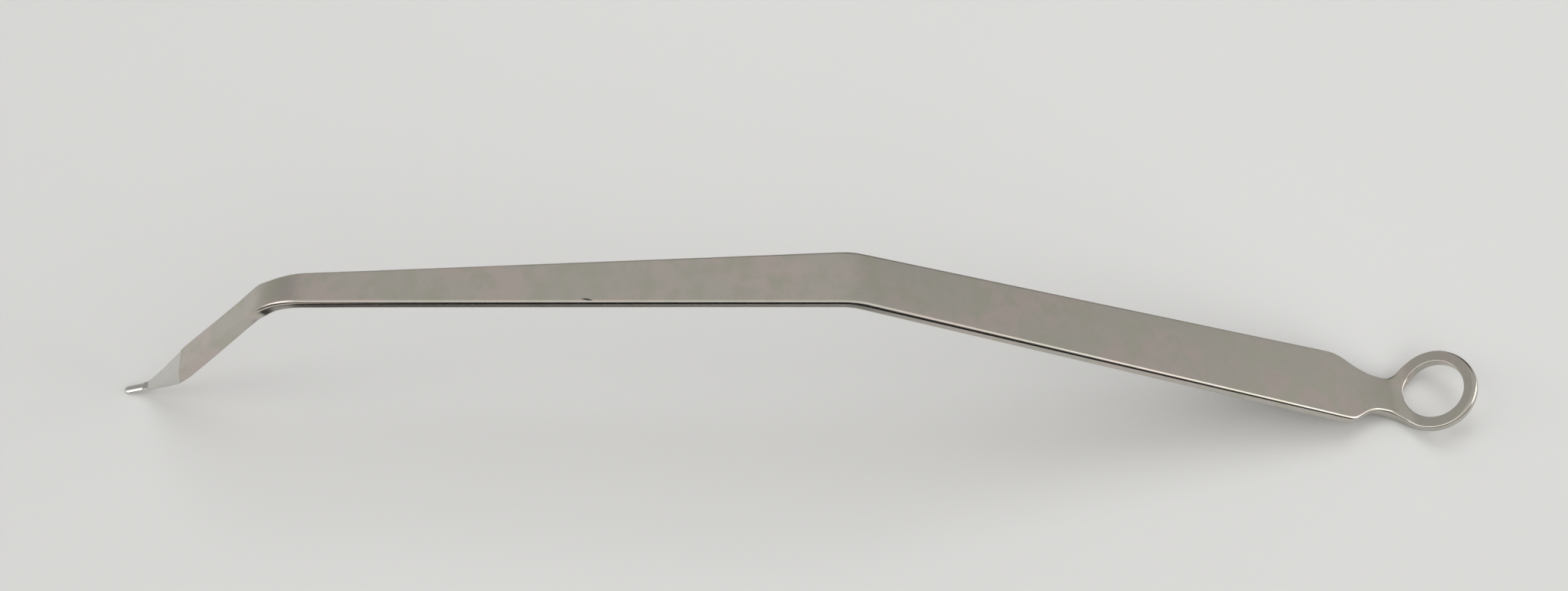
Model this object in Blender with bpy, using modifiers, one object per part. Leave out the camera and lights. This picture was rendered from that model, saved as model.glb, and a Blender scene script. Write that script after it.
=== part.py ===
"""Ring-handled bone lever: one forged and ground flat bar of stainless steel.

The bar stands like an arch on its lip and on the root of its ring.
Lengths below are millimetres and angles are degrees; meshes are written in metres.
Stations run along X from the lip (left) to the ring (right); Z = 0 is the table.
"""
import math

import bmesh
import bpy
from mathutils import Matrix, Vector

# ---- driving dimensions -------------------------------------------------------
MM = 0.001
BAR_THICK = 3.0            # full thickness of shaft, handle, neck and ring
EDGE_R = 0.9               # rounding on the long edges
EDGE_SHARE = 0.30          # a rounding takes at most this share of a thin section
EDGE_STEPS = 3             # facets in each rounded edge
SEAM = 0.3                 # clearance between neighbouring zones
ARC_STEP = 4.0             # facet angle in the bends
STRAIGHT_RUN = 3.0         # a longer run between two points of the line isn't in a bend
END_ZONE = 0.05            # within this of such a run's end, its direction is blended
MIN_STEP = 0.12            # least distance between two cross-sections

# top line of the bar: station x, height z, bend radius on the top face
TOP_LINE = [
    (-4.2, 0.678, 0.0),    # free end of the lip, at LIP_END
    (2.0, 3.228, 0.8),     # crease where the lip turns up
    (6.3, 8.45, 3.0),      # slight hollow above the crease
    (11.9, 16.34, 0.0),    # ridge across the blade
    (28.7, 39.60, 20.0),   # upper end of the ground blade
    (37.97, 51.94, 18.0),  # front bend
    (177.7, 60.80, 14.0),  # middle bend
    (333.6, 2.146, 7.0),   # ring root
    (356.0, 18.39, 0.0),   # line of the ring plane, past its rim
]

# half widths of the bar at stations x; the two sides differ only at the shoulder
BAR_HALF = [
    (-4.2, 0.70), (-4.0, 0.86), (-3.5, 1.00), (-2.6, 1.06), (1.0, 1.12), (2.3, 1.33),
    (4.2, 1.90), (5.5, 2.30), (7.4, 3.00), (8.9, 3.50), (11.9, 3.76), (17.0, 3.77),
    (24.0, 3.62), (32.6, 3.65), (34.6, 4.00), (37.2, 3.90), (40.5, 4.05), (44.0, 4.28),
    (177.7, 7.36), (312.0, 10.12),
]
FAR_HALF = BAR_HALF + [
    (314.0, 9.98), (315.2, 9.72), (316.4, 9.33), (318.5, 8.25), (320.6, 7.15),
    (322.9, 6.30), (325.2, 5.66), (327.6, 5.45),
]
NEAR_HALF = BAR_HALF + [
    (314.8, 10.18), (316.2, 10.14), (317.5, 9.88), (318.8, 9.22), (320.1, 8.35),
    (321.4, 7.46), (322.6, 6.72), (323.9, 6.08), (325.2, 5.66), (327.6, 5.45),
]

# ground side facets: how far the top edges are pulled in at stations x
FACET = [(2.3, 0.0), (4.2, 0.15), (6.6, 0.35), (8.9, 0.70), (11.9, 0.50), (29.0, 0.50),
         (32.8, 0.0)]

# thickness at stations x
THICKNESS = [(-4.2, 0.70), (-3.6, 0.82), (2.0, 0.95), (3.2, 1.30), (4.3, 1.60),
             (6.5, 2.35), (8.9, 3.15), (11.9, 3.50), (24.0, 3.40), (33.0, 3.10),
             (40.0, BAR_THICK), (333.0, BAR_THICK), (352.0, 2.5)]

# zone names from the lip's end, each with the station of the cut that ends it
LIP_END = -4.2
ZONE_CUTS = [
    ("lip", 2.0),
    ("point", 11.9),
    ("blade", 28.15),
    ("front_bend", 47.15),
    ("shaft", 172.15),
    ("middle_bend", 184.15),
    ("handle", 310.15),
    ("neck", 328.15),
]

RING_X = 340.75            # ring centre, on its top face
RING_OUT_R = 11.4
RING_HOLE_R = 8.07
NECK_HALF = 5.45           # half width where the neck runs into the ring
NECK_BLEND_R = 6.5         # concave blend between neck and rim
RING_EDGE = 0.55           # rounding on the ring's edges
RING_CREASE = 42.0         # edges sharper than this are rounded
RIM_STEPS = 44             # facets in the rim from the middle to the blend
BLEND_STEPS = 6            # facets in each blend
HOLE_SIDES = 72
# the ring is cut from a bent blank, which reaches past it on every side
BLANK_HALF = 14.0          # half width of the blank
CUTTER_HALF = 16.0         # half depth of the outline cutter
HOLE_CUTTER_LONG = 50.0
ROOT_STRIP = 26.0          # the neck's strip on the outline cutter, from the ring's centre
ROOT_SPARE = 6.0           # blank left of the root cut
ROOT_REACH = 40.0          # the line's points nearer than this to the root shape the blank
SAW = (40.0, 60.0, 60.0)   # block that squares the root off

STEEL = (0.52, 0.50, 0.47, 1.0)


def zones():
    """Name, first and last station of each zone, with the seam taken out at every cut."""
    out = []
    start = LIP_END
    for name, cut in ZONE_CUTS:
        out.append((name, round(start, 4), round(cut - SEAM / 2.0, 4)))
        start = cut + SEAM / 2.0
    return out, round(start, 4)


ZONES, RING_START = zones()


# ---- scene --------------------------------------------------------------------
for old in list(bpy.data.objects):
    bpy.data.objects.remove(old, do_unlink=True)

part_col = bpy.data.collections.new("ring_handled_lever")
cut_col = bpy.data.collections.new("cutters")
bpy.context.scene.collection.children.link(part_col)
bpy.context.scene.collection.children.link(cut_col)
bpy.context.scene.unit_settings.system = "METRIC"


def steel(name):
    mat = bpy.data.materials.new(name)
    mat.use_nodes = True
    shader = mat.node_tree.nodes["Principled BSDF"]
    shader.inputs["Base Color"].default_value = STEEL
    shader.inputs["Metallic"].default_value = 1.0
    shader.inputs["Roughness"].default_value = 0.34
    return mat


def table(pairs, x):
    """Straight-line value between the stations of a table."""
    if x <= pairs[0][0]:
        return pairs[0][1]
    for (x0, v0), (x1, v1) in zip(pairs, pairs[1:]):
        if x <= x1:
            return v0 + (v1 - v0) * (x - x0) / (x1 - x0)
    return pairs[-1][1]


# ---- the bent line ------------------------------------------------------------
def bent_line(corners):
    """Corner points with radii become a polyline of (x, z, direction)."""
    out = []
    pts = [Vector((c[0], c[1])) for c in corners]
    first = (pts[1] - pts[0]).normalized()
    out.append((pts[0].x, pts[0].y, math.atan2(first.y, first.x)))
    for i in range(1, len(pts) - 1):
        a = (pts[i] - pts[i - 1]).normalized()
        b = (pts[i + 1] - pts[i]).normalized()
        ang_a = math.atan2(a.y, a.x)
        ang_b = math.atan2(b.y, b.x)
        turn = ang_b - ang_a
        radius = corners[i][2]
        if radius <= 0.0:
            mid = 0.5 * (ang_a + ang_b)
            out.append((pts[i].x, pts[i].y, mid))
            continue
        run = radius * math.tan(abs(turn) / 2.0)
        start = pts[i] - a * run
        side = 1.0 if turn > 0.0 else -1.0
        centre = start + Vector((-a.y, a.x)) * radius * side
        steps = max(2, int(math.ceil(math.degrees(abs(turn)) / ARC_STEP)))
        for k in range(steps + 1):
            ang = ang_a + turn * k / steps
            p = centre - Vector((-math.sin(ang), math.cos(ang))) * radius * side
            out.append((p.x, p.y, ang))
    last = (pts[-1] - pts[-2]).normalized()
    out.append((pts[-1].x, pts[-1].y, math.atan2(last.y, last.x)))
    return out


LINE = bent_line(TOP_LINE)


def at_station(x):
    """Point and direction on the top line at station x."""
    x = min(max(x, LINE[0][0]), LINE[-1][0])
    for (x0, z0, a0), (x1, z1, a1) in zip(LINE, LINE[1:]):
        if x0 <= x <= x1:
            t = (x - x0) / (x1 - x0)
            straight = math.atan2(z1 - z0, x1 - x0)
            ang = straight if abs(a1 - a0) < 1e-6 else a0 + (a1 - a0) * t
            if min(x - x0, x1 - x) > END_ZONE and (x1 - x0) > STRAIGHT_RUN:
                ang = straight
            return x, z0 + (z1 - z0) * t, ang
    raise ValueError("station outside the line")


def stations(x0, x1):
    """Every polyline vertex and table station between two cuts."""
    xs = {round(x0, 4), round(x1, 4)}
    for x, _z, _a in LINE:
        if x0 + MIN_STEP < x < x1 - MIN_STEP:
            xs.add(round(x, 4))
    for x, _h in FAR_HALF + NEAR_HALF + FACET + THICKNESS:
        if x0 + MIN_STEP < x < x1 - MIN_STEP:
            xs.add(round(x, 4))
    keep = []
    for x in sorted(xs):
        if keep and x - keep[-1] < MIN_STEP and x != round(x1, 4):
            continue
        keep.append(x)
    return keep


def section(x):
    """Rounded rectangle standing square to the bar at station x, less its side facets."""
    px, pz, ang = at_station(x)
    far = table(FAR_HALF, x)
    near = table(NEAR_HALF, x)
    thick = table(THICKNESS, x)
    r = min(EDGE_R, EDGE_SHARE * thick)
    down = Vector((math.sin(ang), 0.0, -math.cos(ang)))
    origin = Vector((px, 0.0, pz))
    pts = []
    facet = table(FACET, x)
    for cy, cd, start in ((far - facet - r, r, 0.0), (-(near - facet - r), r, 90.0),
                          (-(near - r), thick - r, 180.0), (far - r, thick - r, 270.0)):
        for k in range(EDGE_STEPS + 1):
            a = math.radians(start + 90.0 * k / EDGE_STEPS)
            y = cy + r * math.cos(a)
            d = cd - r * math.sin(a)
            pts.append((origin + Vector((0.0, y, 0.0)) + down * d) * MM)
    return pts


def loft(name, x0, x1):
    """Solid through the rounded rectangles from station x0 to x1."""
    bm = bmesh.new()
    rings = [[bm.verts.new(p) for p in section(x)] for x in stations(x0, x1)]
    n = len(rings[0])
    for a, b in zip(rings, rings[1:]):
        for i in range(n):
            j = (i + 1) % n
            bm.faces.new((a[i], a[j], b[j], b[i]))
    bm.faces.new(list(reversed(rings[0])))
    bm.faces.new(rings[-1])
    bmesh.ops.recalc_face_normals(bm, faces=bm.faces)
    me = bpy.data.meshes.new(name)
    bm.to_mesh(me)
    bm.free()
    me.materials.append(steel("steel_" + name))
    ob = bpy.data.objects.new(name, me)
    part_col.objects.link(ob)
    return ob


# ---- the ring -----------------------------------------------------------------
def plate(name, outline, half_depth, col):
    """Closed 2D curve, filled and extruded both ways, turned into a mesh."""
    cu = bpy.data.curves.new(name, "CURVE")
    cu.dimensions = "2D"
    cu.fill_mode = "BOTH"
    cu.extrude = half_depth * MM
    sp = cu.splines.new("POLY")
    sp.points.add(len(outline) - 1)
    for p, (x, y) in zip(sp.points, outline):
        p.co = (x * MM, y * MM, 0.0, 1.0)
    sp.use_cyclic_u = True
    tmp = bpy.data.objects.new(name + "_curve", cu)
    cut_col.objects.link(tmp)
    bpy.context.view_layer.update()
    deps = bpy.context.evaluated_depsgraph_get()
    me = bpy.data.meshes.new_from_object(tmp.evaluated_get(deps))
    bpy.data.objects.remove(tmp, do_unlink=True)
    bm = bmesh.new()
    bm.from_mesh(me)
    bmesh.ops.remove_doubles(bm, verts=bm.verts, dist=1e-6)
    bmesh.ops.recalc_face_normals(bm, faces=bm.faces)
    bm.to_mesh(me)
    bm.free()
    ob = bpy.data.objects.new(name, me)
    col.objects.link(ob)
    return ob


def as_cutter(ob):
    ob.hide_render = True
    ob.display_type = "WIRE"
    return ob


def boolean(ob, tool, operation):
    mod = ob.modifiers.new(tool.name, "BOOLEAN")
    mod.operation = operation
    mod.solver = "EXACT"
    mod.object = tool


def ring_frame():
    """Matrix of the ring plane: local X up the slope, local Z its face normal."""
    _x, z, ang = at_station(RING_X)
    mat = Matrix.Rotation(-ang, 4, "Y")
    mat.translation = Vector((RING_X * MM, 0.0, z * MM))
    return mat


def ring_outline():
    """Rim circle blended into the neck, in ring-plane millimetres."""
    # blend circle touches the neck side and the rim circle
    by = NECK_HALF + NECK_BLEND_R
    bx = -math.sqrt((RING_OUT_R + NECK_BLEND_R) ** 2 - by ** 2)
    touch = math.atan2(by, bx)
    upper = []
    for k in range(RIM_STEPS + 1):
        a = touch * k / RIM_STEPS
        upper.append((RING_OUT_R * math.cos(a), RING_OUT_R * math.sin(a)))
    a0 = math.atan2(-by, -bx)
    a1 = -math.pi / 2.0
    for k in range(1, BLEND_STEPS + 1):
        a = a0 + (a1 - a0) * k / BLEND_STEPS
        upper.append((bx + NECK_BLEND_R * math.cos(a), by + NECK_BLEND_R * math.sin(a)))
    upper.append((-ROOT_STRIP, NECK_HALF))
    lower = [(x, -y) for x, y in reversed(upper[1:])]
    return upper + lower


def build_ring():
    frame = ring_frame()
    side = []
    low = []
    for x, z, ang in LINE:
        if x > RING_START - ROOT_REACH:
            side.append((x, z))
            deep = table(THICKNESS, x)
            low.append((x + deep * math.sin(ang), z - deep * math.cos(ang)))
    neck_pt = at_station(RING_START - ROOT_SPARE)
    ang = neck_pt[2]
    side.insert(0, (neck_pt[0], neck_pt[1]))
    low.insert(0, (neck_pt[0] + BAR_THICK * math.sin(ang), neck_pt[1] - BAR_THICK * math.cos(ang)))
    ring = plate("ring", side + list(reversed(low)), BLANK_HALF, part_col)
    ring.data.transform(Matrix.Rotation(math.pi / 2.0, 4, "X"))

    shape = as_cutter(plate("ring_outline", ring_outline(), CUTTER_HALF, cut_col))
    shape.matrix_world = frame
    boolean(ring, shape, "INTERSECT")

    bpy.ops.mesh.primitive_cylinder_add(
        vertices=HOLE_SIDES, radius=RING_HOLE_R * MM, depth=HOLE_CUTTER_LONG * MM)
    hole = as_cutter(bpy.context.object)
    hole.name = "ring_hole"
    hole.matrix_world = frame
    boolean(ring, hole, "DIFFERENCE")

    soft = ring.modifiers.new("rounded_edges", "BEVEL")
    soft.width = RING_EDGE * MM
    soft.segments = EDGE_STEPS
    soft.limit_method = "ANGLE"
    soft.angle_limit = math.radians(RING_CREASE)

    # square end facing the neck
    px, pz, ang = at_station(RING_START)
    bpy.ops.mesh.primitive_cube_add(size=1.0)
    saw = as_cutter(bpy.context.object)
    saw.name = "ring_root_cut"
    saw.scale = [size * MM for size in SAW]
    saw.rotation_euler = (0.0, -ang, 0.0)
    reach = Vector((math.cos(ang), 0.0, math.sin(ang)))
    saw.location = (Vector((px, 0.0, pz)) - reach * SAW[0] / 2.0) * MM
    boolean(ring, saw, "DIFFERENCE")
    for ob in (hole, saw):
        for col in list(ob.users_collection):
            col.objects.unlink(ob)
        cut_col.objects.link(ob)

    bpy.context.view_layer.update()
    deps = bpy.context.evaluated_depsgraph_get()
    me = bpy.data.meshes.new_from_object(ring.evaluated_get(deps))
    ring.modifiers.clear()
    ring.data = me
    me.name = "ring"
    me.materials.clear()
    me.materials.append(steel("steel_ring"))
    return ring


pieces = [loft(name, x0, x1) for name, x0, x1 in ZONES]
pieces.append(build_ring())

# ---- origin: middle of the footprint, on the table ----------------------------
xs = [v.co.x for ob in pieces for v in ob.data.vertices]
zs = [v.co.z for ob in pieces for v in ob.data.vertices]
shift = Matrix.Translation((-(min(xs) + max(xs)) / 2.0, 0.0, -min(zs)))
for ob in pieces:
    ob.data.transform(shift)
for ob in cut_col.objects:
    ob.matrix_world = shift @ ob.matrix_world
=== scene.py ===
import math

import bpy
import numpy as np
from mathutils import Matrix, Vector
from mathutils.geometry import delaunay_2d_cdt


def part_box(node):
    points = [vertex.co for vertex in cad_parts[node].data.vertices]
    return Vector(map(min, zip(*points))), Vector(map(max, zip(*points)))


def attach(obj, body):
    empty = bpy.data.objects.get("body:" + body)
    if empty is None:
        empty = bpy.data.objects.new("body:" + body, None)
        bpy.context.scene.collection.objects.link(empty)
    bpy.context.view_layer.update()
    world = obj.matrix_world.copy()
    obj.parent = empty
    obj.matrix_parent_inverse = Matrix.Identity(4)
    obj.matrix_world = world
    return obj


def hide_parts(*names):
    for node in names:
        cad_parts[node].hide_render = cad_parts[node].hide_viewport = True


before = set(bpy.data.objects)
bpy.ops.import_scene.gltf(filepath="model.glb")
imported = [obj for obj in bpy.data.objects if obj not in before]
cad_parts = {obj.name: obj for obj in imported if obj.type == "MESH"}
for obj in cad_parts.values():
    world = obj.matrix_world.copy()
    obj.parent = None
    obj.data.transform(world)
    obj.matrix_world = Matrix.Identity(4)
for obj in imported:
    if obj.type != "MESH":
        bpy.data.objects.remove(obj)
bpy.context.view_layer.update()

MM = 0.001
# shift from the bar's own stations to the row frame: the lip's free end is the low X limit
LIP_END = -4.2
ORIGIN_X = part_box("lip")[0].x / MM - LIP_END
ORIGIN_Z = -0.03

# ---------------------------------------------------------------- driving shape (mm)
THICK = 3.0
# top line of the bar: station x, height z, bend radius on the top face
TOP_LINE = [
    (-4.2, 0.678, 0.0),
    (2.0, 3.228, 0.8),
    (6.3, 8.45, 3.0),
    (11.9, 16.34, 0.0),
    (28.7, 39.60, 20.0),
    (37.97, 51.94, 18.0),
    (177.7, 60.80, 14.0),
    (333.6, 2.146, 7.0),
    (356.0, 18.39, 0.0),
]
# half widths at stations x; the two sides differ only at the shoulder
BAR_HALF = [
    (-2.6, 1.06), (1.0, 1.12), (2.3, 1.33), (4.2, 1.90), (5.5, 2.30), (7.4, 3.00), (8.9, 3.50),
    (11.9, 3.76), (17.0, 3.77), (24.0, 3.62), (32.6, 3.65), (34.6, 4.00), (37.2, 3.90),
    (40.5, 4.05), (44.0, 4.28), (60.0, 4.64), (100.0, 5.56), (150.0, 6.71), (177.7, 7.36),
    (220.0, 8.23), (270.0, 9.26), (300.0, 9.87), (310.0, 10.08),
]
FAR_HALF = BAR_HALF + [
    (312.4, 10.12), (314.0, 9.98), (315.2, 9.72), (316.4, 9.33), (318.5, 8.25),
    (320.6, 7.15), (322.9, 6.30), (325.2, 5.66), (327.6, 5.45), (330.0, 5.46),
]
NEAR_HALF = BAR_HALF + [
    (314.0, 10.16), (316.2, 10.14), (317.5, 9.88), (318.8, 9.22), (320.1, 8.35), (321.4, 7.46),
    (322.6, 6.72), (323.9, 6.08), (325.2, 5.66), (327.6, 5.45), (330.0, 5.46),
]
# how far the side facets pull in the top edges at stations x
FACET = [(2.3, 0.0), (4.2, 0.15), (6.6, 0.35), (8.9, 0.70), (11.9, 0.50), (29.0, 0.50),
         (32.8, 0.0)]
THICKNESS = [(-4.2, 0.70), (-3.6, 0.82), (2.0, 0.95), (3.2, 1.30), (4.3, 1.60), (6.5, 2.35),
             (8.9, 3.15), (11.9, 3.50), (24.0, 3.40), (33.0, 3.10), (40.0, THICK),
             (333.0, THICK), (352.0, 2.5)]
# rounding of the top and the under edges at stations x
ROUND_TOP = [(-4.2, 0.18), (2.0, 0.22), (4.2, 0.45), (7.4, 0.85), (11.4, 0.95), (11.9, 0.50),
             (13.0, 0.32), (31.0, 0.40), (37.0, 0.85), (44.0, 0.95), (330.0, 0.85), (337.0, 0.50),
             (344.0, 0.45), (350.0, 1.25), (400.0, 1.25)]
ROUND_UNDER = [(-4.2, 0.20), (2.0, 0.25), (12.0, 0.35), (34.0, 0.45), (44.0, 0.80),
               (400.0, 0.80)]
MOST_TOP = 0.56            # most of the thickness that the top rounding may take
MOST_UNDER = 0.40
RIM_STEPS = 6
ROUND_HOLE = 0.35
ROUND_HOLE_LEFT = 0.75     # the hole's edge is buffed back towards the handle
HOLE_BUFF_AT = math.radians(165.0)
HOLE_BUFF_POWER = 6
HOLE_STEPS = 120
OUTLINE_LIP_STEPS = 12
OUTLINE_BLEND_STEPS = 12
OUTLINE_RIM_STEPS = 56
LIP_ROUND = 1.1            # corner radius of the lip's free end
CROWN_END = 5.6            # the lip's top is crowned up to this length
CROWN_FADE = 0.8
CROWN_DROP = 0.27
RING_X = 340.75
RING_OUT_R = 11.4
RING_HOLE_R = 8.07
NECK_BLEND_R = 6.5
NECK_HALF = 5.45
RIDGE_X = 11.9
CREASE_X = 2.0
LEAST_RADIUS = 0.05        # of a corner in the top line that is left sharp
# stations where the mesh gets closer or changes over
SHOULDER_X = 308.0
FILL_X = 312.0
NECK_X = 327.0
RING_ROOT_X = 330.0
# cuts across the blank: from this length on, this far apart
CUTS = [(LIP_ROUND, 0.25), (9.0, 0.30), (24.0, 0.5), (60.0, 1.2), (95.0, 1.6)]
SHOULDER_CUTS = 0.35
CREASE_CUT = 0.07          # two cuts this far to each side keep a ridge sharp
CREASE_CLEAR = 0.22


# ---------------------------------------------------------------- the bent line
def bent_line(corners):
    """Corner points with radii become rows of x, z, direction and length along the line."""
    out = []
    pts = [np.array(c[:2], float) for c in corners]
    first = pts[1] - pts[0]
    out.append((*pts[0], math.atan2(first[1], first[0])))
    for i in range(1, len(pts) - 1):
        a = pts[i] - pts[i - 1]
        b = pts[i + 1] - pts[i]
        a /= np.linalg.norm(a)
        b /= np.linalg.norm(b)
        ang_a = math.atan2(a[1], a[0])
        ang_b = math.atan2(b[1], b[0])
        turn = ang_b - ang_a
        radius = max(corners[i][2], LEAST_RADIUS)
        run = radius * math.tan(abs(turn) / 2.0)
        side = 1.0 if turn > 0.0 else -1.0
        centre = pts[i] - a * run + np.array((-a[1], a[0])) * radius * side
        steps = max(4, int(math.ceil(math.degrees(abs(turn)))))
        for k in range(steps + 1):
            ang = ang_a + turn * k / steps
            p = centre - np.array((-math.sin(ang), math.cos(ang))) * radius * side
            out.append((p[0], p[1], ang))
    last = pts[-1] - pts[-2]
    out.append((*pts[-1], math.atan2(last[1], last[0])))
    rows = np.array(out)
    run = np.hypot(np.diff(rows[:, 0]), np.diff(rows[:, 1]))
    return np.column_stack([rows, np.concatenate([[0.0], np.cumsum(run)])])


LINE = bent_line(TOP_LINE)


def length_at(x):
    return np.interp(x, LINE[:, 0], LINE[:, 3])


def x_at(s):
    return np.interp(s, LINE[:, 3], LINE[:, 0])


def smooth_table(pairs):
    """Monotone cubic through a table of station and value, as a function of length."""
    s = length_at(np.array([p[0] for p in pairs]))
    v = np.array([p[1] for p in pairs], float)
    h = np.diff(s)
    slope = np.diff(v) / h
    m = np.zeros_like(v)
    m[0], m[-1] = slope[0], slope[-1]
    for i in range(1, len(v) - 1):
        if slope[i - 1] * slope[i] > 0.0:
            w0 = 2 * h[i] + h[i - 1]
            w1 = h[i] + 2 * h[i - 1]
            m[i] = (w0 + w1) / (w0 / slope[i - 1] + w1 / slope[i])

    def value(q):
        q = np.clip(np.asarray(q, float), s[0], s[-1])
        i = np.clip(np.searchsorted(s, q) - 1, 0, len(s) - 2)
        t = (q - s[i]) / h[i]
        return ((1 + 2 * t) * (1 - t) ** 2 * v[i] + t * (1 - t) ** 2 * h[i] * m[i]
                + t ** 2 * (3 - 2 * t) * v[i + 1] + t ** 2 * (t - 1) * h[i] * m[i + 1])

    return value


far_of = smooth_table(FAR_HALF)
near_of = smooth_table(NEAR_HALF)


def linear_table(pairs):
    """Straight lines through a table of station and value, as a function of length."""
    return lambda q: np.interp(x_at(q), [p[0] for p in pairs], [p[1] for p in pairs])


thick_of = linear_table(THICKNESS)
facet_of = linear_table(FACET)
S_RING = float(length_at(RING_X))


def blank_rows(end):
    """Lengths at which the blank is cut: close in the tip, at the ridge and at the shoulder."""
    steps = CUTS + [(float(length_at(SHOULDER_X)), SHOULDER_CUTS)]
    rows = []
    q = LIP_ROUND
    while q < end:
        rows.append(q)
        q += [st for lim, st in steps if lim <= q + 1e-6][-1]
    for x in (CREASE_X, RIDGE_X):
        q = float(length_at(x))
        rows = [r for r in rows if abs(r - q) > CREASE_CLEAR]
        rows += [q - CREASE_CUT, q + CREASE_CUT]
    return sorted(rows)


def half_outline(width_of):
    """One side of the flat blank, from the lip's end to the far side of the ring."""
    pts = []
    lip_w = float(width_of(LIP_ROUND))
    for k in range(OUTLINE_LIP_STEPS):
        a = math.pi / 2.0 * k / OUTLINE_LIP_STEPS
        pts.append((LIP_ROUND * (1.0 - math.cos(a)), lip_w * math.sin(a)))
    by = NECK_HALF + NECK_BLEND_R
    bx = S_RING - math.sqrt((RING_OUT_R + NECK_BLEND_R) ** 2 - by ** 2)
    pts += [(q, float(width_of(q))) for q in blank_rows(bx - 0.3)]
    swing = math.atan2(-by, S_RING - bx) + math.pi / 2.0
    for k in range(OUTLINE_BLEND_STEPS + 1):
        a = -math.pi / 2.0 + swing * k / OUTLINE_BLEND_STEPS
        pts.append((bx + NECK_BLEND_R * math.cos(a), by + NECK_BLEND_R * math.sin(a)))
    start = math.atan2(by, bx - S_RING)
    for k in range(1, OUTLINE_RIM_STEPS):
        a = start * (1.0 - k / OUTLINE_RIM_STEPS)
        pts.append((S_RING + RING_OUT_R * math.cos(a), RING_OUT_R * math.sin(a)))
    return pts


def closed_outline():
    far = half_outline(far_of)
    near = half_outline(near_of)
    tip = [(S_RING + RING_OUT_R, 0.0)]
    return np.array(far + tip + [(q, -y) for q, y in reversed(near[1:])])


def outward(poly):
    """In-plane normals of a closed polygon that runs clockwise from the lip over the far side."""
    t = np.roll(poly, -1, 0) - np.roll(poly, 1, 0)
    t /= np.linalg.norm(t, axis=1)[:, None]
    return np.column_stack([-t[:, 1], t[:, 0]])


def inside(poly, pts):
    """Even-odd test of points in a polygon."""
    x, y = pts[:, 0], pts[:, 1]
    hit = np.zeros(len(pts), bool)
    a = poly
    b = np.roll(poly, -1, 0)
    for (x0, y0), (x1, y1) in zip(a, b):
        if y0 == y1:
            continue
        cross = ((y0 > y) != (y1 > y)) & (x < (x1 - x0) * (y - y0) / (y1 - y0) + x0)
        hit ^= cross
    return hit


def carve(flat):
    """Side facets and the lip's crowned top, worked into the flat blank (s, y, depth)."""
    s, y, d = flat[:, 0], flat[:, 1], flat[:, 2]
    rise = np.clip(1.0 - d / thick_of(s), 0.0, 1.0)
    half = np.where(y > 0.0, far_of(s), near_of(s))
    y = y * (1.0 - rise * facet_of(s) / half)
    along = np.clip((CROWN_END - s) / CROWN_FADE, 0.0, 1.0)
    along = along * along * (3.0 - 2.0 * along)
    return s, y, d + CROWN_DROP * (y / half) ** 2 * along * rise


def bend(flat):
    """Flat coordinates (length, across, depth) to the bent bar, in row-frame metres."""
    s, y, d = carve(flat)
    x = np.interp(s, LINE[:, 3], LINE[:, 0])
    z = np.interp(s, LINE[:, 3], LINE[:, 1])
    ang = np.interp(s, LINE[:, 3], LINE[:, 2])
    out = np.column_stack([x + d * np.sin(ang) + ORIGIN_X, y, z - d * np.cos(ang) + ORIGIN_Z])
    return out * MM


def rim_rows(poly, normals, r_top, r_under):
    """Rows of flat points and flat normals from the top face's edge to the under face's."""
    t = thick_of(poly[:, 0])
    r_top = np.minimum(r_top, MOST_TOP * t)
    r_under = np.minimum(r_under, MOST_UNDER * t)
    rows, nrm = [], []
    for k in range(RIM_STEPS + 1):
        a = math.pi / 2.0 * k / RIM_STEPS
        p = poly - normals * (r_top * (1.0 - math.sin(a)))[:, None]
        rows.append(np.column_stack([p, r_top * (1.0 - math.cos(a))]))
        nrm.append(np.column_stack([normals * math.sin(a), np.full(len(poly), math.cos(a))]))
    for k in range(RIM_STEPS + 1):
        a = math.pi / 2.0 * k / RIM_STEPS
        p = poly - normals * (r_under * (1.0 - math.cos(a)))[:, None]
        rows.append(np.column_stack([p, t - r_under * (1.0 - math.sin(a))]))
        nrm.append(np.column_stack([normals * math.cos(a), np.full(len(poly), -math.sin(a))]))
    return rows, nrm


# spacing of the points inside the faces
TIP_POINTS = (8.0, 0.3)    # up to this length, this far apart
BLADE_POINTS = (24.0, 0.5)
BEND_POINTS = 0.8
RING_POINTS = 0.7
FLAT_POINTS = 2.4
TIP_FILL = [0.3, 0.6, 0.9]  # lengths inside the lip's rounded end
PAST_EDGE = 0.8            # rows of points start this far outside the edge
EDGE_CLEAR = 0.12
HOLE_CLEAR = 0.25
BEND_LEAST = 0.005         # radians of turn in a millimetre that count as a bend


def clearance(pts, loop):
    """Distance from each point to the nearest corner of a loop."""
    return np.min(np.linalg.norm(pts[:, None, :] - loop[None, :, :], axis=2), axis=1)


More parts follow.
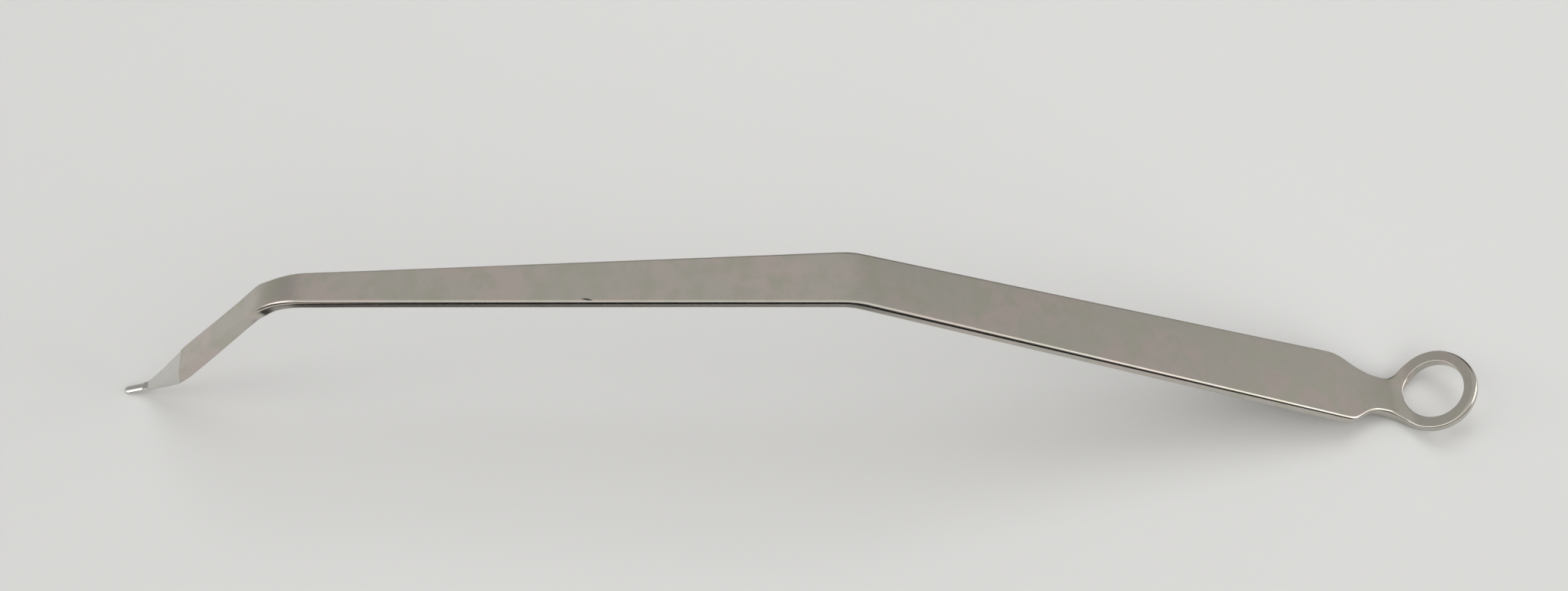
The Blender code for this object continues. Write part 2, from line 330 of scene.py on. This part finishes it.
def interior_points(edge, hole):
    """Points to fill the faces: close together in the bends, wide apart on the flats."""
    rows = blank_rows(float(length_at(RING_ROOT_X)))
    turn = np.abs(np.gradient(LINE[:, 2]) / np.maximum(np.gradient(LINE[:, 3]), 1e-6))
    q = rows[-1]
    while q < S_RING + RING_OUT_R:
        q += RING_POINTS
        rows.append(q)
    pts = []
    last = 0.0
    for q in TIP_FILL + rows:
        if q > length_at(FILL_X):
            step = RING_POINTS
        elif q < TIP_POINTS[0]:
            step = TIP_POINTS[1]
        elif q < BLADE_POINTS[0]:
            step = BLADE_POINTS[1]
        elif float(np.interp(q, LINE[:, 3], turn)) > BEND_LEAST:
            step = BEND_POINTS
        else:
            step = FLAT_POINTS
        if step == FLAT_POINTS and q - last < FLAT_POINTS:
            continue
        last = q
        w = float(far_of(q)) + PAST_EDGE if q < length_at(NECK_X) else RING_OUT_R
        n = max(4, int(2 * w / step))
        pts += [(q, -w + 2 * w * k / n) for k in range(n + 1)]
    pts = np.array(pts)
    pts = pts[inside(edge, pts)]
    pts = pts[clearance(pts, edge) > EDGE_CLEAR]
    pts = pts[~inside(hole, pts)]
    return pts[clearance(pts, hole) > HOLE_CLEAR]


def build_skin():
    poly = closed_outline()
    normals = outward(poly)
    ang = np.linspace(0.0, 2 * math.pi, HOLE_STEPS, endpoint=False)
    hole = np.column_stack([S_RING + RING_HOLE_R * np.cos(ang), RING_HOLE_R * np.sin(ang)])
    hole_n = -np.column_stack([np.cos(ang), np.sin(ang)])
    top = linear_table(ROUND_TOP)(poly[:, 0])
    under = linear_table(ROUND_UNDER)(poly[:, 0])
    rows, row_n = rim_rows(poly, normals, top, under)
    left = np.clip(np.cos(ang - HOLE_BUFF_AT), 0.0, 1.0) ** HOLE_BUFF_POWER
    hole_round = ROUND_HOLE + (ROUND_HOLE_LEFT - ROUND_HOLE) * left
    hrows, hrow_n = rim_rows(hole, hole_n, hole_round, ROUND_HOLE)
    verts, nrms, faces = [], [], []

    def add_rows(rs, ns):
        first = []
        for p, n in zip(rs, ns):
            first.append(sum(len(v) for v in verts))
            verts.append(p)
            nrms.append(n)
        return first

    outer = add_rows(rows, row_n)
    inner = add_rows(hrows, hrow_n)
    for first, count in ((outer, len(poly)), (inner, HOLE_STEPS)):
        for a, b in zip(first, first[1:]):
            for i in range(count):
                j = (i + 1) % count
                faces.append((a + i, a + j, b + j, b + i))
    edge = rows[0][:, :2]
    hole_edge = hrows[0][:, :2]
    extra = interior_points(edge, hole_edge)
    all2 = np.vstack([edge, hole_edge, extra])
    ne, nh = len(edge), HOLE_STEPS
    edges = [(i, (i + 1) % ne) for i in range(ne)]
    edges += [(ne + i, ne + (i + 1) % nh) for i in range(nh)]
    co, _e, tris, orig, _oe, _of = delaunay_2d_cdt([Vector(p) for p in all2], edges, [], 0, 1e-7)
    tri = np.array([t for t in tris if len(t) == 3])
    co = np.array([(c.x, c.y) for c in co])
    mid = co[tri].mean(1)
    ok = inside(edge, mid) & ~inside(hole_edge, mid)
    tri = tri[ok]
    back = [o[0] if len(o) else -1 for o in orig]
    for upper in (True, False):
        row = 0 if upper else len(rows) - 1
        base = sum(len(v) for v in verts)
        depth = np.zeros(len(extra)) if upper else thick_of(extra[:, 0])
        verts.append(np.column_stack([extra, depth]))
        nrms.append(np.tile((0.0, 0.0, 1.0 if upper else -1.0), (len(extra), 1)))

        def index(i):
            o = back[i]
            if o < ne:
                return outer[row] + o
            if o < ne + nh:
                return inner[row] + o - ne
            return base + o - ne - nh

        for t in tri:
            f = [index(i) for i in t]
            faces.append(tuple(f if upper else reversed(f)))
    return np.vstack(verts), np.vstack(nrms), faces


def mesh_from(name, flat, nrm, faces):
    world = bend(flat)
    # exact normals: two tangents of the flat surface carried through the bend
    n = nrm * np.array((1.0, 1.0, -1.0))
    helper = np.where(np.abs(n[:, 1:2]) < 0.9, (0.0, 1.0, 0.0), (1.0, 0.0, 0.0))
    t1 = np.cross(n, helper)
    t1 /= np.linalg.norm(t1, axis=1)[:, None]
    t2 = np.cross(n, t1)
    eps = 0.01
    d1 = bend(flat + t1 * eps) - bend(flat - t1 * eps)
    d2 = bend(flat + t2 * eps) - bend(flat - t2 * eps)
    wn = np.cross(d1, d2)
    wn /= np.maximum(np.linalg.norm(wn, axis=1)[:, None], 1e-20)
    # the sign that points out of the steel
    probe = bend(flat + n * eps) - bend(flat)
    flip = np.sign((wn * probe).sum(1))
    flip[flip == 0] = 1.0
    wn *= flip[:, None]
    me = bpy.data.meshes.new(name)
    me.from_pydata(world.tolist(), [], faces)
    me.update()
    # face winding follows the normals
    fn = np.array([p.normal for p in me.polygons])
    vn = np.array([wn[list(p.vertices)].mean(0) for p in me.polygons])
    wrong = (fn * vn).sum(1) < 0.0
    if wrong.any():
        fixed = [tuple(reversed(f)) if w else f for f, w in zip(faces, wrong)]
        me.clear_geometry()
        me.from_pydata(world.tolist(), [], fixed)
        me.update()
    for p in me.polygons:
        p.use_smooth = True
    at = me.attributes.new("flat_co", "FLOAT_VECTOR", "POINT")
    at.data.foreach_set("vector", flat.astype(np.float32).ravel())
    me.normals_split_custom_set_from_vertices(wn.tolist())
    me.validate()
    ob = bpy.data.objects.new(name, me)
    bpy.context.scene.collection.objects.link(ob)
    return ob


# ---------------------------------------------------------------- materials
def new_material(name):
    mat = bpy.data.materials.new(name)
    mat.use_nodes = True
    nt = mat.node_tree
    for n in list(nt.nodes):
        nt.nodes.remove(n)
    out = nt.nodes.new("ShaderNodeOutputMaterial")
    bsdf = nt.nodes.new("ShaderNodeBsdfPrincipled")
    nt.links.new(bsdf.outputs["BSDF"], out.inputs["Surface"])
    return mat, nt, bsdf


def math_node(nt, op, a, b):
    n = nt.nodes.new("ShaderNodeMath")
    n.operation = op
    for i, v in enumerate((a, b)):
        if isinstance(v, (int, float)):
            n.inputs[i].default_value = v
        else:
            nt.links.new(v, n.inputs[i])
    return n.outputs[0]


def ramp(nt, value, lo, hi, out_lo=0.0, out_hi=1.0):
    n = nt.nodes.new("ShaderNodeMapRange")
    n.inputs["From Min"].default_value = lo
    n.inputs["From Max"].default_value = hi
    n.inputs["To Min"].default_value = out_lo
    n.inputs["To Max"].default_value = out_hi
    nt.links.new(value, n.inputs["Value"])
    return n.outputs["Result"]


def noise(nt, vec, scale, detail, rough, stretch=(1.0, 1.0, 1.0), offset=(0, 0, 0)):
    m = nt.nodes.new("ShaderNodeMapping")
    m.inputs["Scale"].default_value = stretch
    m.inputs["Location"].default_value = offset
    nt.links.new(vec, m.inputs["Vector"])
    t = nt.nodes.new("ShaderNodeTexNoise")
    t.inputs["Scale"].default_value = scale
    t.inputs["Detail"].default_value = detail
    t.inputs["Roughness"].default_value = rough
    nt.links.new(m.outputs["Vector"], t.inputs["Vector"])
    return t.outputs["Fac"]


def mix_color(nt, fac, a, b, mode="MIX"):
    n = nt.nodes.new("ShaderNodeMix")
    n.data_type = "RGBA"
    n.blend_type = mode
    if isinstance(fac, (int, float)):
        n.inputs[0].default_value = fac
    else:
        nt.links.new(fac, n.inputs[0])
    for i, v in ((6, a), (7, b)):
        if isinstance(v, tuple):
            n.inputs[i].default_value = v
        else:
            nt.links.new(v, n.inputs[i])
    return n.outputs[2]


STEEL_PLAIN = (0.545, 0.523, 0.478, 1)
STEEL_PINK = (0.592, 0.526, 0.490, 1)
STEEL_OLIVE = (0.512, 0.497, 0.428, 1)
STEEL_SPECK = (0.470, 0.455, 0.420, 1)
STEEL_POINT = (0.66, 0.65, 0.62, 1)
STEEL_SCRATCH = (0.060, 0.058, 0.056, 1)

# depths from nothing to full strength
EDGE_DEPTH = (0.03, 0.16)

RIDGE_SLANT = 1.7          # the ridge runs on down the side, back towards the lip
RIDGE_SOFT = 0.05
EDGE_ROUGH = 0.17
FACE_ROUGH = (0.30, 0.36)
GRAIN_ROUGH = 0.03
GRAIN_DEEP = 0.00002
GRAIN_STRENGTH = 0.10
SPECK_SHARE = 0.4

# one short scratch: length, across, half length, half thickness, lean
SCRATCH = (float(length_at(113.6)), -5.05, 1.6, 0.28, -0.20)
SPOT_CORE = 0.15


def both(nt, a, b):
    """Product of two masks."""
    return math_node(nt, "MULTIPLY", a, b)


def spot(nt, s, across, at_s, at_y, long, thick, lean):
    """Mask of a short slanted ellipse on the flat blank."""
    along = math_node(nt, "SUBTRACT", s, at_s)
    aside = math_node(nt, "SUBTRACT", across, at_y)
    cos, sin = math.cos(lean), math.sin(lean)
    a = math_node(nt, "ADD", both(nt, along, cos), both(nt, aside, sin))
    b = math_node(nt, "SUBTRACT", both(nt, aside, cos), both(nt, along, sin))
    a = math_node(nt, "DIVIDE", a, long)
    b = math_node(nt, "DIVIDE", b, thick)
    near = math_node(nt, "ADD", both(nt, a, a), both(nt, b, b))
    return ramp(nt, near, 1.0, SPOT_CORE)


def face_color(nt, s, across, vec, cloud, speck):
    """Satin steel with broad stains, specks and one scratch."""
    broad = noise(nt, vec, 0.045, 2.0, 0.5, (1.0, 1.6, 1.0), (3.0, 1.0, 0.0))
    color = mix_color(nt, ramp(nt, broad, 0.45, 0.58), STEEL_PLAIN, STEEL_PINK)
    color = mix_color(nt, ramp(nt, cloud, 0.46, 0.62), color, STEEL_OLIVE)
    color = mix_color(nt, ramp(nt, speck, 0.35, 0.75, 0.0, 0.25), color, STEEL_SPECK)
    return mix_color(nt, spot(nt, s, across, *SCRATCH), color, STEEL_SCRATCH)


def satin_steel():
    """The bar's one material; its places are lengths and depths on the flat blank, in mm."""
    mat, nt, bsdf = new_material("satin_steel")
    co = nt.nodes.new("ShaderNodeAttribute")
    co.attribute_name = "flat_co"
    vec = co.outputs["Vector"]
    sep = nt.nodes.new("ShaderNodeSeparateXYZ")
    nt.links.new(vec, sep.inputs[0])
    s, across, depth = sep.outputs
    cloud = noise(nt, vec, 0.16, 4.0, 0.6, (1.0, 1.0, 1.0), (11.0, 5.0, 0.0))
    grain = noise(nt, vec, 5.0, 3.0, 0.6, (0.10, 1.0, 1.0))
    speck = noise(nt, vec, 2.2, 3.0, 0.7)
    # the ground point and lip are brighter and glossier than the satin bar
    slanted = math_node(nt, "ADD", s, both(nt, depth, RIDGE_SLANT))
    ridge_s = float(length_at(RIDGE_X))
    polished = ramp(nt, slanted, ridge_s + RIDGE_SOFT, ridge_s - RIDGE_SOFT)
    face = face_color(nt, s, across, vec, cloud, speck)
    nt.links.new(mix_color(nt, polished, face, STEEL_POINT), bsdf.inputs["Base Color"])
    bsdf.inputs["Metallic"].default_value = 1.0
    # buffed from just below the top face down: the edges and the under face
    base_r = ramp(nt, cloud, 0.35, 0.70, *FACE_ROUGH)
    with_grain = math_node(nt, "ADD", base_r, ramp(nt, grain, 0.3, 0.7, -GRAIN_ROUGH, GRAIN_ROUGH))
    rough = nt.nodes.new("ShaderNodeMix")
    shiny = math_node(nt, "MAXIMUM", polished, ramp(nt, depth, *EDGE_DEPTH))
    nt.links.new(shiny, rough.inputs[0])
    nt.links.new(with_grain, rough.inputs[2])
    rough.inputs[3].default_value = EDGE_ROUGH
    nt.links.new(rough.outputs[0], bsdf.inputs["Roughness"])
    bump = nt.nodes.new("ShaderNodeBump")
    bump.inputs["Strength"].default_value = GRAIN_STRENGTH
    bump.inputs["Distance"].default_value = GRAIN_DEEP
    height = math_node(nt, "ADD", grain, both(nt, speck, SPECK_SHARE))
    nt.links.new(height, bump.inputs["Height"])
    nt.links.new(bump.outputs["Normal"], bsdf.inputs["Normal"])
    return mat


TABLE_PALE = (0.655, 0.659, 0.659, 1)
TABLE_GREY = (0.643, 0.647, 0.647, 1)
CARD_BLACK = (0.012, 0.012, 0.012, 1)
CARD_GREY = (0.020, 0.020, 0.020, 1)


def table_material():
    mat, nt, bsdf = new_material("pale_table")
    tc = nt.nodes.new("ShaderNodeTexCoord")
    mottle = noise(nt, tc.outputs["Object"], 3.0, 4.0, 0.6)
    color = mix_color(nt, ramp(nt, mottle, 0.35, 0.65), TABLE_PALE, TABLE_GREY)
    nt.links.new(color, bsdf.inputs["Base Color"])
    bsdf.inputs["Roughness"].default_value = 0.9
    bsdf.inputs["Specular IOR Level"].default_value = 0.0
    return mat


def card_material():
    mat, nt, bsdf = new_material("black_card")
    tc = nt.nodes.new("ShaderNodeTexCoord")
    mottle = noise(nt, tc.outputs["Object"], 40.0, 3.0, 0.6)
    nt.links.new(mix_color(nt, mottle, CARD_BLACK, CARD_GREY), bsdf.inputs["Base Color"])
    bsdf.inputs["Roughness"].default_value = 0.9
    bsdf.inputs["Specular IOR Level"].default_value = 0.0
    return mat


# ---------------------------------------------------------------- light
# brightness of the room against the upward part of a ray's direction
FAR_ROOM = [(0.0, 0.50), (0.25, 0.45), (0.42, 0.44), (0.57, 0.575), (0.80, 0.60), (1.0, 0.62)]
NEAR_ROOM = [(0.0, 0.02), (0.28, 0.03), (0.40, 0.75), (0.60, 1.05), (0.85, 1.00), (1.0, 0.62)]
# sideways part of a ray's direction at which the near side of the room takes over
NEAR_SPAN = (0.05, -0.45)
# three windows and two dark doors: direction, cosines of the outer and inner edge, brightness
WINDOWS = [
    ((-0.80, -0.02, 0.60), 0.925, 0.965, 3.0),
    ((0.93, -0.10, 0.36), 0.93, 0.975, 3.2),
    ((0.97, 0.22, 0.08), 0.975, 0.990, 2.6),
    ((0.35, 0.90, 0.28), 0.88, 0.95, 0.10),
    ((-0.66, 0.42, 0.62), 0.88, 0.975, 0.39),
]
ROOM_TINT = (1.0, 0.985, 0.955, 1)
CARD_CORNER = (-0.1505, -0.029, 0.002)
CARD_TURN = math.radians(-4.8)
CARD_DEEP = 1.2
CARD_WIDE = 1.5

# ---------------------------------------------------------------- pieces
flat, nrm, faces = build_skin()
skin = mesh_from("lever_skin", flat, nrm, faces)
skin.data.materials.append(satin_steel())
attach(skin, "root")
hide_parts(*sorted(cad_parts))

# ---------------------------------------------------------------- stage
bpy.ops.mesh.primitive_plane_add(size=6.0, location=(0.0, 0.0, 0.0))
floor = bpy.context.object
floor.name = "table_top"
floor.data.materials.append(table_material())

# a black card on the table in front of the bar, unseen but mirrored by the near edge
turned = Matrix.Rotation(CARD_TURN, 3, "Z")
card_at = Vector(CARD_CORNER) + turned @ Vector((0.5 * CARD_WIDE, -0.5 * CARD_DEEP, 0.0))
bpy.ops.mesh.primitive_plane_add(size=1.0, location=card_at)
card = bpy.context.object
card.name = "black_card"
card.scale = (CARD_WIDE, CARD_DEEP, 1.0)
card.rotation_euler.z = CARD_TURN
card.data.materials.append(card_material())
for seen_by in ("visible_camera", "visible_diffuse", "visible_transmission", "visible_shadow"):
    setattr(card, seen_by, False)

# soft room light, worked out from the direction (x, y, z) of each ray
world = bpy.data.worlds.new("soft_room")
bpy.context.scene.world = world
world.use_nodes = True
wn = world.node_tree
bg = wn.nodes["Background"]


def grey_ramp(value, stops):
    """Grey colour ramp through (position, brightness) stops."""
    node = wn.nodes.new("ShaderNodeValToRGB")
    wn.links.new(value, node.inputs[0])
    cr = node.color_ramp
    for e, (pos, v) in zip(cr.elements, (stops[0], stops[-1])):
        e.position = pos
        e.color = (v, v, v, 1)
    for pos, v in stops[1:-1]:
        e = cr.elements.new(pos)
        e.color = (v, v, v, 1)
    return node.outputs[0]


tc = wn.nodes.new("ShaderNodeTexCoord")
sepw = wn.nodes.new("ShaderNodeSeparateXYZ")
wn.links.new(tc.outputs["Generated"], sepw.inputs[0])
up_part = sepw.outputs[2]
far_room = grey_ramp(up_part, FAR_ROOM)
near_room = grey_ramp(up_part, NEAR_ROOM)
nearness = ramp(wn, sepw.outputs[1], *NEAR_SPAN)
room = mix_color(wn, nearness, far_room, near_room)
for toward, outer_cos, inner_cos, glow in WINDOWS:
    facing = wn.nodes.new("ShaderNodeVectorMath")
    facing.operation = "DOT_PRODUCT"
    wn.links.new(tc.outputs["Generated"], facing.inputs[0])
    facing.inputs[1].default_value = Vector(toward).normalized()
    pane = ramp(wn, facing.outputs["Value"], outer_cos, inner_cos)
    room = mix_color(wn, pane, room, (glow, glow, glow, 1))
wn.links.new(mix_color(wn, 1.0, room, ROOM_TINT, "MULTIPLY"), bg.inputs["Color"])
bg.inputs["Strength"].default_value = 1.0


def area(name, loc, target, size, power):
    light = bpy.data.lights.new(name, "AREA")
    light.shape = "DISK"
    light.size = size
    light.energy = power
    ob = bpy.data.objects.new(name, light)
    ob.location = loc
    d = Vector(target) - Vector(loc)
    ob.rotation_euler = d.to_track_quat("-Z", "Y").to_euler()
    ob.visible_glossy = False
    bpy.context.scene.collection.objects.link(ob)


area("overhead", (0.10, 0.40, 1.0), (0.0, 0.0, 0.0), 0.7, 2.6)
area("front_fill", (0.40, -0.80, 0.60), (0.12, 0.0, 0.0), 1.0, 1.7)

# ---------------------------------------------------------------- camera
CAM_POS = Vector(((112.497 + ORIGIN_X) * MM, -0.275703, 0.504822))
CAM_RIGHT = Vector((0.995671, -0.036981, 0.085279))
CAM_UP = Vector((-0.012646, 0.855027, 0.518429))
cam_data = bpy.data.cameras.new("camera")
cam_data.sensor_width = 36.0
cam_data.lens = 50.1
cam_data.clip_start = 0.01
cam = bpy.data.objects.new("camera", cam_data)
back = CAM_RIGHT.cross(CAM_UP).normalized()
up = back.cross(CAM_RIGHT).normalized()
rot = Matrix((CAM_RIGHT.normalized(), up, back)).transposed()
cam.matrix_world = Matrix.Translation(CAM_POS) @ rot.to_4x4()
bpy.context.scene.collection.objects.link(cam)
bpy.context.scene.camera = cam
bpy.context.scene.view_settings.view_transform = "Standard"
